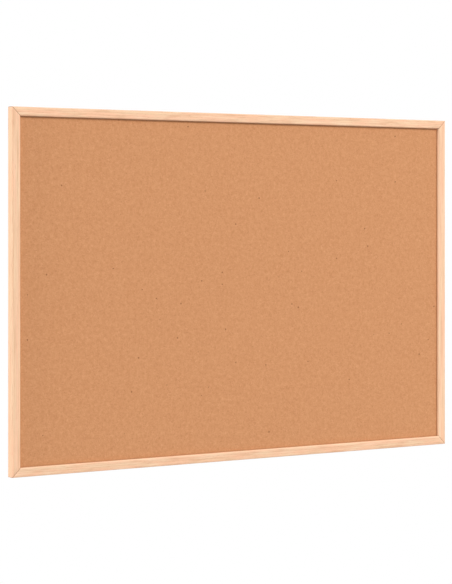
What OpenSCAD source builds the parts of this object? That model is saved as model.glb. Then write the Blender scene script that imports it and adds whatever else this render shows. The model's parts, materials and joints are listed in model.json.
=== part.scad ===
// Cork bulletin board for a wall: a rebated and mitred hardwood frame round a cork and softboard panel.
// Millimetres, +Z up. The cork faces -Y, the wall is the plane y = 0, left and right are seen from the front.
// The origin lies on the wall, midway between the two hooks that bear in the hanger rings.

/* [Board] */
// Overall width of the framed board
board_w = 900; // [400:50:1800]
// Overall height of the framed board
board_h = 600; // [350:50:1200]

/* [Frame] */
// Width of a frame member seen from the front
frame_face = 15; // [14.5:0.5:30]
// Thickness of the front lip that covers the cork's edge
lip_t = 4.8; // [2.5:0.1:8]
// Width of the rebate behind the lip
rebate_w = 5; // [3:0.5:6]
// Radius on the outer front edge
outer_edge_r = 1.6; // [0.5:0.1:2.4]
// Radius on the inner front edge, beside the cork
sight_edge_r = 2; // [0.3:0.1:2.4]
// Chamfer on the outer back edge
back_edge_chamfer = 0.6; // [0.2:0.1:1.2]
// Glue line in each mitre
mitre_gap = 0.1; // [0.05:0.05:0.3]

/* [Panel] */
// Thickness of the cork
cork_t = 3; // [2:0.5:6]
// Thickness of the softboard behind the cork
core_t = 5; // [4:0.5:12]
// Thickness of the backing paper
paper_t = 0.4; // [0.2:0.1:1]
// Depth of the frame behind the backing paper
back_recess = 1.8; // [1.6:0.1:6]
// Room round the panel's edge in the rebate
panel_gap = 0.5; // [0.2:0.1:1]

/* [Corner V-nails] */
// Number of V-nails in each mitre
v_nail_count = 2; // [1:1:2]
// Thickness of a V-nail's steel strip
v_nail_t = 0.6; // [0.4:0.1:0.8]
// Length of a V-nail's wing
v_nail_wing = 4.5; // [3:0.5:6]
// Radius of the curled edge at the end of a wing
v_nail_curl_r = 0.6; // [0.5:0.1:0.8]
// Height of a V-nail, the way it is driven
v_nail_h = 8; // [5:0.5:11]
// Depth of a driven V-nail below the back face
v_nail_sink = 0.3; // [0.1:0.1:1]
// From the frame's outer faces to the fold of the outermost V-nail
v_nail_inset = 3; // [2.5:0.1:4]
// Step between V-nails, along both outer faces
v_nail_step = 3.4; // [2.5:0.1:4]

/* [Panel points] */
// Thickness of a panel point
point_t = 0.6; // [0.4:0.1:1]
// Width of a panel point
point_w = 8; // [5:0.5:12]
// Length of a panel point that is driven into the frame
point_bite = 5; // [3:0.5:7]
// Length of the driven end that tapers to a tip
point_tip = 3; // [2:0.5:4.5]
// Length of a panel point that lies on the panel
point_grip = 7; // [4:0.5:12]
// From a corner to the nearest panel point
point_end = 60; // [30:5:80]
// Greatest distance between panel points
point_spacing = 200; // [100:10:300]
// Room round a driven V-nail or panel point
drive_clear = 0.04; // [0.02:0.01:0.1]

/* [Hangers] */
// From the frame's top edge down to where the hooks bear in the rings
hang_drop = 100; // [85:5:180]
// Width of a hanger strap
strap_w = 5.5; // [5:0.5:8]
// Thickness of the strip that is folded into a strap
strap_t = 0.8; // [0.5:0.1:1.2]
// Gap between the two leaves of a folded strap
strap_seam = 0.1; // [0.05:0.05:0.2]
// Diameter of a ring's wire
ring_wire_d = 1.8; // [1.5:0.1:2.4]
// Radius at the wire's middle of the bends beside the strap
ring_bend_r = 1.3; // [1.3:0.1:2]
// Room between the strap's side and the ring's bend
ring_side_gap = 0.4; // [0.2:0.1:0.8]
// Running clearance round the ring's bar in the strap's eye
ring_eye_clear = 0.05; // [0.02:0.01:0.1]
// Gap between a resting ring and the frame's back
ring_rest_gap = 0.3; // [0.2:0.05:0.5]
// From the rebate's edge to the side of a hanger strap
strap_inset = 0.25; // [0.1:0.05:1]

/* [Hanger screws] */
// Diameter of a screw's shank
screw_d = 3; // [2.5:0.1:3.5]
// Length of a screw under its head
screw_len = 12; // [8:0.5:14]
// Length of a screw's point
screw_tip = 3; // [2:0.5:4]
// Diameter of a screw's head
screw_head_d = 5; // [4.5:0.1:5.8]
// Height of a screw's head at its crown
screw_head_h = 1.8; // [1.4:0.1:1.9]
// Height of a screw's head at its rim
screw_rim_h = 0.9; // [0.5:0.1:1.2]
// Length of each arm across the screw's cross recess
recess_len = 2.8; // [2:0.1:3.2]
// Width of the cross recess
recess_w = 0.8; // [0.5:0.1:1]
// Depth of the cross recess
recess_depth = 0.9; // [0.5:0.1:1.2]
// Room between a screw's head and the strap's eye
head_gap = 0.4; // [0.2:0.1:1]
// Room round the shank in the strap's hole
strap_hole_clear = 0.2; // [0.1:0.05:0.4]
// Room round the shank and under the point in the stile's pilot hole
pilot_clear = 0.05; // [0.02:0.01:0.1]

/* [Wall pads] */
// Diameter of a wall pad
pad_d = 7; // [6:0.5:9]
// From the rebate's edge to the side of a wall pad
pad_inset = 0.5; // [0.1:0.1:1]
// Radius round a wall pad's outer edge
pad_edge_r = 0.6; // [0.3:0.1:1]
// From the frame's bottom edge to a wall pad's middle
pad_rise = 40; // [20:5:80]
// Room between a strap's eye and the wall
wall_gap = 0.5; // [0.2:0.1:2]

/* [Hidden] */
$fn = 64;

// How far a cut reaches past the face that it opens
over = 1;

// The four sides, as the turn about Y that takes a member from the top to that side
TOP = 0;
RIGHT = 90;
BOTTOM = 180;
LEFT = 270;

// Section of the frame
back_w = frame_face - rebate_w;
frame_depth = lip_t + cork_t + core_t + paper_t + back_recess;
panel_inset = back_w + panel_gap;
panel_w = board_w - 2 * panel_inset;
panel_h = board_h - 2 * panel_inset;

// Hanger: the strap's eye, the screw below it, and a ring whose crown clears the screw's head when folded down
ring_wire_r = ring_wire_d / 2;
eye_r = ring_wire_r + ring_eye_clear;
eye_outer_r = eye_r + strap_t;
screw_drop = eye_outer_r + head_gap + screw_head_d / 2;
strap_len = screw_drop + strap_w / 2;
ring_bar = strap_w + 2 * ring_side_gap;
ring_r = ring_bar / 2 + ring_bend_r;
ring_reach = screw_drop + ring_r;
ring_lean = asin((eye_outer_r - ring_wire_r - ring_rest_gap) / ring_reach);
hanger_inset = back_w - strap_inset - strap_w / 2;

// Wall pad: its middle from the frame's outer edge
pad_r = pad_d / 2;
pad_middle = back_w - pad_inset - pad_r;

// Levels from the wall to the front
frame_back_y = -(2 * eye_outer_r + wall_gap);
frame_front_y = frame_back_y - frame_depth;
cork_front_y = frame_front_y + lip_t;
core_front_y = cork_front_y + cork_t;
paper_front_y = core_front_y + core_t;
pivot_y = frame_back_y + eye_outer_r;

// Heights
top_z = hang_drop;
mid_z = top_z - board_h / 2;
bottom_z = top_z - board_h;
pivot_z = -(ring_reach - ring_wire_r) * cos(ring_lean);

// Colours
oak = [0.94, 0.77, 0.62];
cork_brown = [0.80, 0.56, 0.39];
softboard = [0.62, 0.50, 0.36];
kraft = [0.68, 0.53, 0.36];
zinc = [0.75, 0.76, 0.78];
bright_steel = [0.62, 0.63, 0.65];
felt_grey = [0.30, 0.29, 0.28];

// Length of the member on a side, and how far its outer edge lies from the board's middle
function is_upright(side) = side == LEFT || side == RIGHT;
function member_len(side) = is_upright(side) ? board_h : board_w;
function edge_reach(side) = (is_upright(side) ? board_w : board_h) / 2;

// Places of the panel points along the member on a side, measured from its middle
function point_stations(side) =
    let (span = member_len(side) - 2 * point_end, gaps = ceil(span / point_spacing))
    [for (i = [0 : gaps]) span * (i / gaps - 0.5)];

// A section drawn in (y, z), carried along x about the middle
module along_x(length) {
    rotate([90, 0, 90]) linear_extrude(length, center = true) children();
}

// An outline drawn in (x, z), carried from y = 0 towards the front
module towards_front(depth) {
    rotate([90, 0, 0]) linear_extrude(depth) children();
}

// A shape turned about z, with its axis laid along y and its top towards the wall
module towards_wall() {
    rotate([-90, 0, 0]) children();
}

// The axes of the member on a side: x along it, y = 0 on its back face, z = 0 on its outer edge
module on_side(side) {
    translate([0, frame_back_y, mid_z])
        rotate([0, side, 0])
            translate([0, 0, edge_reach(side)])
                children();
}

// The axes of a corner: the outer corner on the back face is the origin, the frame lies at -x and -z
module at_corner(right, up) {
    translate([right * board_w / 2, frame_back_y, mid_z + up * board_h / 2])
        mirror([right < 0 ? 1 : 0, 0, 0])
            mirror([0, 0, up < 0 ? 1 : 0])
                children();
}

// The axes of a hanger: the ring's bar lies along x through the origin
module at_hanger(right) {
    translate([right * (board_w / 2 - hanger_inset), pivot_y, pivot_z]) children();
}

// What rounding takes off a corner at the origin whose sides run along +x and +y
module rounding(r) {
    difference() {
        translate([-over, -over]) square(r + over);
        translate([r, r]) circle(r);
    }
}

// Section of a frame member: a full-depth back limb and the lip that covers the panel's edge
module member_section() {
    difference() {
        union() {
            translate([-frame_depth, -back_w]) square([frame_depth, back_w]);
            translate([-frame_depth, -frame_face]) square([lip_t, frame_face]);
        }
        translate([-frame_depth, 0]) mirror([0, 1]) rounding(outer_edge_r);
        translate([-frame_depth, -frame_face]) rounding(sight_edge_r);
        rotate(45) square(back_edge_chamfer * sqrt(2), center = true);
    }
}

// The member on a side with its mitred ends and the slots for V-nails and panel points
module frame_member(side) {
    half = (member_len(side) - mitre_gap * sqrt(2)) / 2;
    mitred = [[-half, 0], [half, 0], [half - frame_face, -frame_face], [-half + frame_face, -frame_face]];
    difference() {
        on_side(side) intersection() {
            along_x(member_len(side)) member_section();
            translate([0, over, 0]) towards_front(frame_depth + 2 * over) polygon(mitred);
        }
        for (right = [-1, 1], up = [-1, 1]) v_nail_slots(right, up);
        panel_points(side, drive_clear);
    }
}

// Plan of a V-nail: two wings at a right angle from the fold at the origin, each with a curled edge
module v_nail_outline(grow = 0) {
    strip = v_nail_t + 2 * grow;
    circle(strip / 2);
    translate([-v_nail_wing, -strip / 2]) square([v_nail_wing, strip]);
    translate([-strip / 2, -v_nail_wing]) square([strip, v_nail_wing]);
    translate([-v_nail_wing, 0]) circle(v_nail_curl_r + grow);
    translate([0, -v_nail_wing]) circle(v_nail_curl_r + grow);
}

// The V-nails of one corner, stepped along the mitre
module v_nails(right, up) {
    at_corner(right, up) for (i = [0 : v_nail_count - 1]) {
        fold = v_nail_inset + i * v_nail_step;
        translate([-fold, -v_nail_sink, -fold]) towards_front(v_nail_h) v_nail_outline();
    }
}

// The slots that the V-nails of one corner are driven into
module v_nail_slots(right, up) {
    at_corner(right, up) for (i = [0 : v_nail_count - 1]) {
        fold = v_nail_inset + i * v_nail_step;
        translate([-fold, over, -fold])
            towards_front(over + v_nail_sink + v_nail_h + drive_clear)
                v_nail_outline(drive_clear);
    }
}

// Plan of a panel point, with z = 0 at the rebate's wall and its tip in the wood
module point_outline(grow = 0) {
    half = point_w / 2 + grow;
    shoulder = point_bite - point_tip;
    polygon([
        [-half, -point_grip], [half, -point_grip],
        [half, shoulder], [0, point_bite + grow], [-half, shoulder]
    ]);
}

// The panel points of the member on a side, flat on the backing paper
module panel_points(side, grow = 0) {
    on_side(side) for (x = point_stations(side))
        translate([x, point_t + grow - back_recess, -back_w])
            towards_front(point_t + 2 * grow)
                point_outline(grow);
}

// A layer of the panel
module panel_layer(front_y, thickness) {
    translate([-panel_w / 2, front_y, mid_z - panel_h / 2]) cube([panel_w, thickness, panel_h]);
}

// A strip folded round the ring's bar: two leaves lie flat on the frame and close round the eye
module hanger_strap(right) {
    at_hanger(right) difference() {
        intersection() {
            along_x(strap_w + 2 * over) difference() {
                union() {
                    circle(eye_outer_r);
                    translate([-eye_outer_r, -strap_len]) square([2 * strap_t, strap_len]);
                }
                circle(eye_r);
                translate([-eye_r - strap_seam / 2, -strap_len - over])
                    square([strap_seam, strap_len + over - eye_outer_r]);
            }
            translate([0, eye_outer_r + over, 0]) towards_front(2 * (eye_outer_r + over)) {
                translate([-strap_w / 2, -screw_drop]) square([strap_w, screw_drop + eye_outer_r + over]);
                translate([0, -screw_drop]) circle(strap_w / 2);
            }
        }
        translate([0, 0, -screw_drop]) rotate([90, 0, 0])
            cylinder(r = screw_d / 2 + strap_hole_clear, h = 2 * (eye_outer_r + over), center = true);
    }
}

// An arc of the ring's wire in the plane of x and z, from one angle on
module wire_arc(bend_r, from, turn) {
    rotate([90, 0, 0]) rotate(from) rotate_extrude(angle = turn) translate([bend_r, 0]) circle(ring_wire_r);
}

// A D-shaped wire ring: a bar in the strap's eye, two legs and a round crown, leaning on the frame's back
module hanger_ring(right) {
    at_hanger(right) rotate([ring_lean, 0, 0]) {
        rotate([0, 90, 0]) cylinder(r = ring_wire_r, h = ring_bar, center = true);
        for (leg = [-1, 1]) {
            translate([leg * ring_bar / 2, 0, ring_bend_r]) wire_arc(ring_bend_r, leg > 0 ? -90 : 180, 90);
            translate([leg * ring_r, 0, ring_bend_r]) cylinder(r = ring_wire_r, h = screw_drop - ring_bend_r);
        }
        translate([0, 0, screw_drop]) wire_arc(ring_r, 0, 180);
    }
}

// The axes of a hanger's screw: z = 0 under its head, the shank towards -z
module at_screw(right) {
    at_hanger(right) translate([0, 2 * strap_t - eye_outer_r, -screw_drop]) towards_wall() children();
}

// A screw's shank and point
module screw_shank(grow = 0) {
    straight = screw_len - screw_tip;
    r = screw_d / 2 + grow;
    translate([0, 0, -straight]) cylinder(r = r, h = straight);
    translate([0, 0, -screw_len - grow]) cylinder(r1 = 0, r2 = r, h = screw_tip + grow);
}

// A pan-head screw with a cross recess
module hanger_screw(right) {
    rise = screw_head_h - screw_rim_h;
    dome_r = (pow(screw_head_d / 2, 2) + pow(rise, 2)) / (2 * rise);
    at_screw(right) {
        screw_shank();
        difference() {
            intersection() {
                cylinder(d = screw_head_d, h = screw_head_h);
                translate([0, 0, screw_head_h - dome_r]) sphere(dome_r);
            }
            for (arm = [0, 90])
                rotate(arm)
                    translate([-recess_len / 2, -recess_w / 2, screw_head_h - recess_depth])
                        cube([recess_len, recess_w, recess_depth + over]);
        }
    }
}

// A stile with the pilot hole for its hanger's screw
module hung_stile(side, right) {
    difference() {
        frame_member(side);
        at_screw(right) screw_shank(pilot_clear);
    }
}

// A round pad on a stile's back, as thick as the frame's distance from the wall
module wall_pad(right) {
    place = [right * (board_w / 2 - pad_middle), frame_back_y, bottom_z + pad_rise];
    translate(place) towards_wall() rotate_extrude() {
        square([pad_r, -frame_back_y - pad_edge_r]);
        square([pad_r - pad_edge_r, -frame_back_y]);
        translate([pad_r - pad_edge_r, -frame_back_y - pad_edge_r]) circle(pad_edge_r);
    }
}

module top_rail() { color(oak) frame_member(TOP); }
module bottom_rail() { color(oak) frame_member(BOTTOM); }
module left_stile() { color(oak) hung_stile(LEFT, -1); }
module right_stile() { color(oak) hung_stile(RIGHT, 1); }

module cork_sheet() { color(cork_brown) panel_layer(cork_front_y, cork_t); }
module softboard_core() { color(softboard) panel_layer(core_front_y, core_t); }
module backing_paper() { color(kraft) panel_layer(paper_front_y, paper_t); }

module top_left_v_nails() { color(bright_steel) v_nails(-1, 1); }
module top_right_v_nails() { color(bright_steel) v_nails(1, 1); }
module bottom_left_v_nails() { color(bright_steel) v_nails(-1, -1); }
module bottom_right_v_nails() { color(bright_steel) v_nails(1, -1); }

module top_panel_points() { color(bright_steel) panel_points(TOP); }
module bottom_panel_points() { color(bright_steel) panel_points(BOTTOM); }
module left_panel_points() { color(bright_steel) panel_points(LEFT); }
module right_panel_points() { color(bright_steel) panel_points(RIGHT); }

module left_hanger_strap() { color(zinc) hanger_strap(-1); }
module right_hanger_strap() { color(zinc) hanger_strap(1); }
module left_hanger_ring() { color(zinc) hanger_ring(-1); }
module right_hanger_ring() { color(zinc) hanger_ring(1); }
module left_hanger_screw() { color(zinc) hanger_screw(-1); }
module right_hanger_screw() { color(zinc) hanger_screw(1); }

module left_wall_pad() { color(felt_grey) wall_pad(-1); }
module right_wall_pad() { color(felt_grey) wall_pad(1); }

top_rail();
bottom_rail();
left_stile();
right_stile();
cork_sheet();
softboard_core();
backing_paper();
top_left_v_nails();
top_right_v_nails();
bottom_left_v_nails();
bottom_right_v_nails();
top_panel_points();
bottom_panel_points();
left_panel_points();
right_panel_points();
left_hanger_strap();
right_hanger_strap();
left_hanger_ring();
right_hanger_ring();
left_hanger_screw();
right_hanger_screw();
left_wall_pad();
right_wall_pad();
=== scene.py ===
import json
import math

import bmesh
import bpy
import numpy as np
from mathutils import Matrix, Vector


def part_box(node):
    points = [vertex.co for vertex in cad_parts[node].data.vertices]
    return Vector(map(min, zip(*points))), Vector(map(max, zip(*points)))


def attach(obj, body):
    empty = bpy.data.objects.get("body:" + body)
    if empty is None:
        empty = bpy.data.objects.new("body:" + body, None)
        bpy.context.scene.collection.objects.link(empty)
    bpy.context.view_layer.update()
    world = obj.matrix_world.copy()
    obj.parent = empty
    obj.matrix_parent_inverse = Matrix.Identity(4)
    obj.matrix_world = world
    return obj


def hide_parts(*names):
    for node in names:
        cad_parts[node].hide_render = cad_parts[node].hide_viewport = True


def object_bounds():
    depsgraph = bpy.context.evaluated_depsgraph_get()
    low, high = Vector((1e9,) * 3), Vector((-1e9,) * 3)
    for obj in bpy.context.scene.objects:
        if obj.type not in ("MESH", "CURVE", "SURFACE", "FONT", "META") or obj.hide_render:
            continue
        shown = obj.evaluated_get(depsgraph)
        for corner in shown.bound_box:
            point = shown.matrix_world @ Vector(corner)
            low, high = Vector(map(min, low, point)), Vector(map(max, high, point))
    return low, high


# A wall-hung cork bulletin board: the finish of its frame, its panel and its hanging hardware.
# Metres, +Z up. The cork faces -Y, the wall is the plane y = 0, left and right are as seen from the front.

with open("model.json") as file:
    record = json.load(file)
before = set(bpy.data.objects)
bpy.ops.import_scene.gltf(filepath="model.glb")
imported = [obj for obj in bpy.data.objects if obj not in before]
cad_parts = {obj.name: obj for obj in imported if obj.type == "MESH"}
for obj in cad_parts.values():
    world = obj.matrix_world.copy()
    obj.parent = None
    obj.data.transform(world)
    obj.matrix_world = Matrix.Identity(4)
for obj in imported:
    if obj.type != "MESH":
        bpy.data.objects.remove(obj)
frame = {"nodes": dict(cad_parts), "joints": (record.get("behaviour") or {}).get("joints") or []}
cad_low, cad_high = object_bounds()

MM = 0.001

# Places that the frame shows
top_low, top_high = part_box("top_rail")
bottom_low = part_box("bottom_rail")[0]
left_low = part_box("left_stile")[0]
right_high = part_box("right_stile")[1]
cork_low, cork_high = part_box("cork_sheet")
paper_low, paper_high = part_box("backing_paper")

HALF_W = (right_high.x - left_low.x) / 2
HALF_H = (top_high.z - bottom_low.z) / 2
MID_Z = (top_high.z + bottom_low.z) / 2
FRONT_Y = top_low.y
BACK_Y = top_high.y
FACE = top_high.z - top_low.z
DEPTH = BACK_Y - FRONT_Y
LIP = cork_low.y - FRONT_Y

# Frame members
REBATE_W = 5 * MM
OUTER_EDGE_R = 1.6 * MM
SIGHT_EDGE_R = 2 * MM
BACK_CHAMFER = 0.6 * MM
MITRE_GAP = 0.02 * MM
MITRE_EASE = 0.22 * MM
BACK_W = FACE - REBATE_W

# Corner V-nails and panel points
V_NAIL_COUNT = 2
V_NAIL_T = 0.6 * MM
V_NAIL_WING = 4.5 * MM
V_NAIL_CURL_R = 0.6 * MM
V_NAIL_H = 8 * MM
V_NAIL_SINK = 0.3 * MM
V_NAIL_INSET = 3 * MM
V_NAIL_STEP = 3.4 * MM
POINT_T = 0.6 * MM
POINT_W = 8 * MM
POINT_BITE = 5 * MM
POINT_TIP = 3 * MM
POINT_GRIP = 7 * MM
POINT_END = 60 * MM
POINT_SPACING = 200 * MM
DRIVE_CLEAR = 0.04 * MM
STEEL_EASE = 0.08 * MM

# Hangers: LEAF_WALL_Y is where the face under the screw's head lies, in y from the ring's bar
STRAP_W = 5.5 * MM
STRAP_T = 0.75 * MM
STRAP_EASE = 0.14 * MM
EYE_OUTER_R = 1.75 * MM
LEAF_WALL_Y = -0.15 * MM
REVERSE_BEND_R = 0.6 * MM
THROUGH_STRAP = 3 * STRAP_T
RING_WIRE_R = 0.9 * MM
RING_BEND_R = 1.3 * MM
RING_SIDE_GAP = 0.4 * MM
RING_REST_GAP = 0.3 * MM
SCREW_R = 1.5 * MM
SCREW_LEN = 12 * MM
SCREW_TIP = 3 * MM
SCREW_POINT_R = 0.02 * MM
HEAD_R = 2.5 * MM
HEAD_H = 1.8 * MM
HEAD_RIM_H = 0.9 * MM
HEAD_GAP = 0.4 * MM
HEAD_EDGE_R = 0.2 * MM
HEAD_MIDDLE_R = 0.05 * MM
RECESS_ARM = 1.4 * MM
RECESS_HALF_W = 0.42 * MM
RECESS_DEPTH = 0.9 * MM
RECESS_FOOT_SHARE = 0.3
STRAP_HOLE_R = 1.7 * MM
PILOT_CLEAR = 0.05 * MM
SCREW_DROP = EYE_OUTER_R + HEAD_GAP + HEAD_R
STRAP_LEN = SCREW_DROP + STRAP_W / 2

# Wall pads: they are drawn in unevenly, by up to a share of their radius
PAD_EDGE_R = 0.6 * MM
PAD_MIDDLE_R = 0.2 * MM
PAD_WAVES = (3 * MM, 1.2 * MM)
PAD_DRAW_SHARE = 0.012

# Panel faces: the cells of their grids, the lengths and depths of their waves, and where pits are cut off
CORK_CELLS = (366, 242)
CORK_SWAY_WAVES = (110 * MM, 50 * MM)
CORK_SWAY = 0.10 * MM
CORK_PIT_WAVES = (13 * MM, 8 * MM, 5.5 * MM)
CORK_PIT = 0.035 * MM
CORK_PIT_LIMIT = 1.5
PAPER_CELLS = (180, 120)
PAPER_WAVES = (160 * MM, 70 * MM, 30 * MM)
PAPER_COCKLE = 0.22 * MM

# How far a cut reaches past the face that it opens
OVER = 1 * MM

# A number too small to show, which settles ties
TINY = 1e-9

# The turn about Y, in degrees, that takes a member from the top to its side
MEMBERS = {"top_rail": 0, "right_stile": 90, "bottom_rail": 180, "left_stile": 270}
HANDS = {"left": -1, "right": 1}
LEVELS = {"top": 1, "bottom": -1}


def is_upright(side):
    """Whether the member on a side, given by its turn, is a stile."""
    return side in (90, 270)


def member_length(side):
    """The length of the member on a side, along its outer edge."""
    return 2 * (HALF_H if is_upright(side) else HALF_W)


# Surfaces: outlines, levels and closed solids as whole arrays

def run(start, end, count):
    """Points on a straight line from start towards end, with end left out."""
    share = np.linspace(0, 1, count, endpoint=False)[:, None]
    return np.asarray(start) + share * np.subtract(end, start)


def arc(centre, radius, first, last, count):
    """Points on a circle from one angle to another, in degrees, both ends kept."""
    turn = np.radians(np.linspace(first, last, count))
    return np.asarray(centre) + radius * np.column_stack([np.cos(turn), np.sin(turn)])


def drawn_in(outline, amounts):
    """The outline once for each amount, drawn in by it: a point slides along the sum of its two edges'
    inward normals, scaled so that both edges move in by the amount."""
    edge = np.roll(outline, -1, axis=0) - outline
    edge /= np.linalg.norm(edge, axis=1, keepdims=True)
    x, y = outline.T
    turning = np.sign(x @ np.roll(y, -1) - y @ np.roll(x, -1))
    inward = turning * np.column_stack([-edge[:, 1], edge[:, 0]])
    bisector = inward + np.roll(inward, 1, axis=0)
    slide = 2 * bisector / (bisector ** 2).sum(axis=1, keepdims=True)
    return outline + np.asarray(amounts)[:, None, None] * slide


def eased_end(ease, steps=4):
    """Heights above an end and how far the outline is drawn in there, on a quarter circle."""
    turn = np.radians(np.linspace(0, 90, steps))
    return ease * (1 - np.cos(turn)), ease * (1 - np.sin(turn))


def eased_levels(low, high, ease):
    """Levels from low to high and how far the outline is drawn in at each, with both ends eased."""
    rise, draw = eased_end(ease)
    return np.concatenate([low + rise, high - rise[::-1]]), np.concatenate([draw, draw[::-1]])


def tube(rows, loop=False):
    """A closed outline carried along a path: rows holds one outline of points for each station.

    Each quad joins an edge of the outline to the same edge at the next station. A path that is not a loop
    is closed by a flat face at each end.
    """
    stations, around = rows.shape[:2]
    index = np.arange(stations * around).reshape(stations, around)
    here = index if loop else index[:-1]
    ahead = np.roll(index, -1, axis=0) if loop else index[1:]
    quads = np.stack([here, np.roll(here, -1, axis=1), np.roll(ahead, -1, axis=1), ahead], axis=-1)
    ends = [] if loop else [index[0, ::-1].tolist(), index[-1].tolist()]
    return rows.reshape(-1, 3), quads.reshape(-1, 4).tolist() + ends


def slab(front, back_y):
    """A grid of points as the face of a slab: its border is carried square to the plane y = back_y and is
    closed there."""
    tall, wide = front.shape[:2]
    index = np.arange(tall * wide).reshape(tall, wide)
    quads = np.stack([index[:-1, :-1], index[:-1, 1:], index[1:, 1:], index[1:, :-1]], axis=-1)
    border = np.concatenate([index[0, :-1], index[:-1, -1], index[-1, :0:-1], index[:0:-1, 0]])
    points = front.reshape(-1, 3)
    rim = points[border] * [1, 0, 1] + [0, back_y, 0]
    below = len(points) + np.arange(len(border))
    sides = np.stack([border, below, np.roll(below, -1), np.roll(border, -1)], axis=-1)
    faces = quads.reshape(-1, 4).tolist() + sides.tolist() + [below.tolist()]
    return np.concatenate([points, rim]), faces


def turned(profile, segments=48):
    """Points of a profile of (radius, height) turned about the height, as rows of (right, up, height)."""
    turn = np.linspace(0, 2 * np.pi, segments, endpoint=False)
    radius, height = profile.T
    right = radius[:, None] * np.cos(turn)
    up = radius[:, None] * np.sin(turn)
    return np.stack([right, up, np.broadcast_to(height[:, None], right.shape)], axis=-1)


def ripple(across, up, wavelengths, seed, waves=24, spread=(0.75, 1.35)):
    """A gentle uneven surface: a number of plane waves near each length, spread by a factor, in random
    directions and phases, summed to about one."""
    draw = np.random.default_rng(seed)
    length = np.repeat(wavelengths, waves) * draw.uniform(*spread, len(wavelengths) * waves)
    heading = draw.uniform(0, 2 * np.pi, len(length))
    phase = draw.uniform(0, 2 * np.pi, len(length))
    total = np.zeros(np.broadcast(across, up).shape)
    for step, angle, shift in zip(2 * np.pi / length, heading, phase):
        total += np.cos(step * (across * math.cos(angle) + up * math.sin(angle)) + shift)
    return total / math.sqrt(len(length) / 2)


def squashed(waves):
    """Waves of any height squashed between zero and one."""
    return 0.5 + 0.5 * np.tanh(waves)


def loose_mesh(name, solids):
    """A mesh of several closed solids, each with its faces turned outwards."""
    points, faces, count = [], [], 0
    for solid_points, solid_faces in solids:
        points.append(solid_points)
        faces += [[count + i for i in face] for face in solid_faces]
        count += len(solid_points)
    mesh = bpy.data.meshes.new(name)
    mesh.from_pydata(np.concatenate(points).tolist(), [], faces)
    shell = bmesh.new()
    shell.from_mesh(mesh)
    bmesh.ops.recalc_face_normals(shell, faces=shell.faces)
    shell.to_mesh(mesh)
    shell.free()
    return mesh


def new_object(name, data):
    """A new object in the scene."""
    made = bpy.data.objects.new(name, data)
    bpy.context.scene.collection.objects.link(made)
    return made


def cut(piece, solids):
    """Takes solids out of a piece, which keeps the result as its own mesh."""
    cutter = new_object("cutter", loose_mesh("cutter", solids))
    pocket = piece.modifiers.new("pockets", "BOOLEAN")
    pocket.operation = "DIFFERENCE"
    pocket.solver = "EXACT"
    pocket.object = cutter
    whole = piece.data
    depsgraph = bpy.context.evaluated_depsgraph_get()
    piece.data = bpy.data.meshes.new_from_object(piece.evaluated_get(depsgraph))
    piece.modifiers.clear()
    bpy.data.objects.remove(cutter)
    bpy.data.meshes.remove(whole)


def make_piece(name, solids, material, node, cuts=(), body="board", crease=38):
    """One finished piece in place of a node: its solids less the cuts, smooth but for edges sharper than
    the crease, in degrees."""
    piece = new_object(name, loose_mesh(name, solids))
    if cuts:
        cut(piece, cuts)
    piece.data.name = name
    piece.data.materials.clear()
    piece.data.materials.append(material)
    piece.data.shade_smooth()
    piece.data.set_sharp_from_angle(angle=math.radians(crease))
    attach(piece, body)
    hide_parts(node)


# Node trees: short hands, then the effects that several finishes share

def ink(red, green, blue):
    """A colour as it is seen, in 0 to 255, as the linear value that a shader takes."""
    seen = np.array([red, green, blue]) / 255
    linear = np.where(seen > 0.04045, ((seen + 0.055) / 1.055) ** 2.4, seen / 12.92)
    return (*linear.tolist(), 1.0)


def add(tree, kind, sockets=None, **settings):
    """A new node with its settings, and its inputs, by name or number, set to a value or linked to a
    socket."""
    made = tree.nodes.new(kind)
    for key, value in settings.items():
        setattr(made, key, value)
    for key, value in (sockets or {}).items():
        if isinstance(value, bpy.types.NodeSocket):
            tree.links.new(value, made.inputs[key])
        else:
            made.inputs[key].default_value = value
    return made


def maths(tree, operation, first, second=0.0, third=0.0):
    """The result of an operation on up to three numbers or sockets."""
    return add(tree, "ShaderNodeMath", {0: first, 1: second, 2: third}, operation=operation).outputs[0]


def vectors(tree, operation, first, second=(0.0, 0.0, 0.0)):
    """The result of an operation on one or two vectors or sockets."""
    return add(tree, "ShaderNodeVectorMath", {0: first, 1: second}, operation=operation).outputs[0]


def blend(tree, share, first, second, way="MIX"):
    """Two colours blended: none of the second where the share is zero, and all of it where it is one."""
    made = add(tree, "ShaderNodeMix", {0: share, 6: first, 7: second}, data_type="RGBA", blend_type=way)
    return made.outputs[2]


def ease_range(tree, value, low, high, out_low=0.0, out_high=1.0):
    """A value's run from low to high carried to another run, with a gentle start and end."""
    sockets = {0: value, 1: low, 2: high, 3: out_low, 4: out_high}
    return add(tree, "ShaderNodeMapRange", sockets, interpolation_type="SMOOTHSTEP").outputs[0]


def straight_range(tree, value, low, high, out_low, out_high):
    """A value's run from low to high carried to another run in proportion."""
    return add(tree, "ShaderNodeMapRange", {0: value, 1: low, 2: high, 3: out_low, 4: out_high}).outputs[0]


def cloud(tree, vector, size, detail=2.0, rough=0.5):
    """A value and a colour of noise whose blobs are about that size: one length, or one along each axis."""
    if isinstance(size, tuple):
        vector = vectors(tree, "MULTIPLY", vector, tuple(1 / s for s in size))
        size = 1.0
    sockets = {"Vector": vector, "Scale": 1 / size, "Detail": detail, "Roughness": rough}
    return add(tree, "ShaderNodeTexNoise", sockets).outputs


def swung(tree, vector, turn):
    """A vector turned about Y, by an angle in radians."""
    sockets = {"Vector": vector, "Angle": turn}
    return add(tree, "ShaderNodeVectorRotate", sockets, rotation_type="Y_AXIS").outputs[0]


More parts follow.
